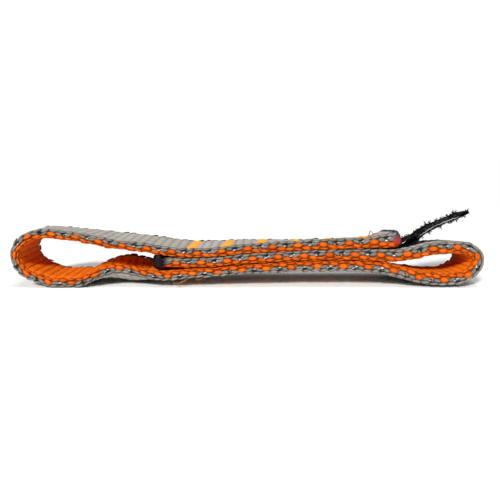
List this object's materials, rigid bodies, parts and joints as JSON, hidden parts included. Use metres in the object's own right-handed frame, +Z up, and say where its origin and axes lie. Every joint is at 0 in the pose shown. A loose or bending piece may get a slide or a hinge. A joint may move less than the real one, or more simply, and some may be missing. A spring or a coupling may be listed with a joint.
{
  "type": "looped webbing sling",
  "caption": "Short two-tone woven strap folded into three sewn plies, with a large loop at one end, a small loop at the other and a folded label tape.",
  "frame": {"origin": "middle of the sling's length and width, on the surface that it lies on", "axes": "+X along the sling towards the small loop, +Y across the strap, +Z up"},
  "size_m": [0.1203, 0.0202, 0.02],
  "materials": {
    "webbing": "woven nylon, grey on one face and orange on the other",
    "sealed_end": "melted nylon, smooth and dark",
    "tack_thread": "polyester zig-zag thread, satin",
    "label_tape": "black woven tape with frayed edges"
  },
  "bodies": {
    "sewn_core": {"top_ply": "webbing", "middle_ply": "webbing", "bottom_ply": "webbing", "inner_end_seal": "sealed_end", "outer_end_seal": "sealed_end", "label_root": "label_tape", "bar_tack_1": "tack_thread", "bar_tack_2": "tack_thread", "bar_tack_3": "tack_thread", "bar_tack_4": "tack_thread", "bar_tack_5": "tack_thread", "bar_tack_6": "tack_thread"},
    "large_loop": {"large_loop": "webbing", "large_loop_flex_upper": "webbing", "large_loop_flex_lower": "webbing"},
    "small_loop": {"small_loop": "webbing", "small_loop_flex_upper": "webbing", "small_loop_flex_lower": "webbing"},
    "label": {"label_flex": "label_tape", "label_flag": "label_tape"}
  },
  "joints": [
    {"name": "large_loop_bend", "type": "hinge", "parent": "sewn_core", "child": "large_loop", "pos_m": [-0.0272, 0, 0.0072], "axis": [0, 1, 0], "range_deg": [-40, 40], "stiffness_Nm_per_rad": 0.04, "deforming": ["large_loop_flex_upper", "large_loop_flex_lower"]},
    {"name": "small_loop_bend", "type": "hinge", "parent": "sewn_core", "child": "small_loop", "pos_m": [0.0432, 0, 0.0053], "axis": [0, -1, 0], "range_deg": [-40, 15], "stiffness_Nm_per_rad": 0.04, "deforming": ["small_loop_flex_upper", "small_loop_flex_lower"]},
    {"name": "label_flip", "type": "hinge", "parent": "sewn_core", "child": "label", "pos_m": [0.0412, 0, 0.0103], "axis": [0, -1, 0], "range_deg": [-5, 45], "stiffness_Nm_per_rad": 0.0005, "deforming": ["label_flex"]}
  ]
}
